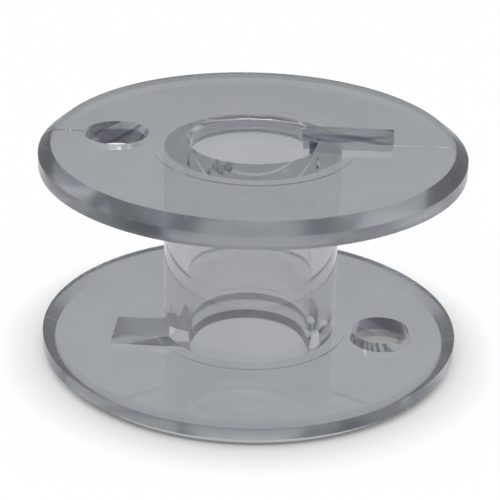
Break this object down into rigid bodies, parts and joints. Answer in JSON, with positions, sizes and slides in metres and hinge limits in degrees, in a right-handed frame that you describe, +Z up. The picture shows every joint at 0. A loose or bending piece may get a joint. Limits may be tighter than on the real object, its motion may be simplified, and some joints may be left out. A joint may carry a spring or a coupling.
{
  "type": "sewing machine bobbin",
  "caption": "Clear one-piece plastic sewing machine bobbin: flat flanges with bevelled rims on a hollow hub, each flange with a driving slot and a round pin hole.",
  "frame": {"origin": "on the bore axis, at the level of the bottom flange's outer face, where the bobbin stands", "axes": "+Z up along the bore axis; +X from the axis along the top flange's driving slot, which lies on the +Y side of this line"},
  "size_m": [0.0205, 0.0204, 0.011],
  "materials": {
    "clear_plastic": "clear moulded, glossy"
  },
  "bodies": {
    "root": {"bobbin": "clear_plastic"}
  },
  "joints": []
}
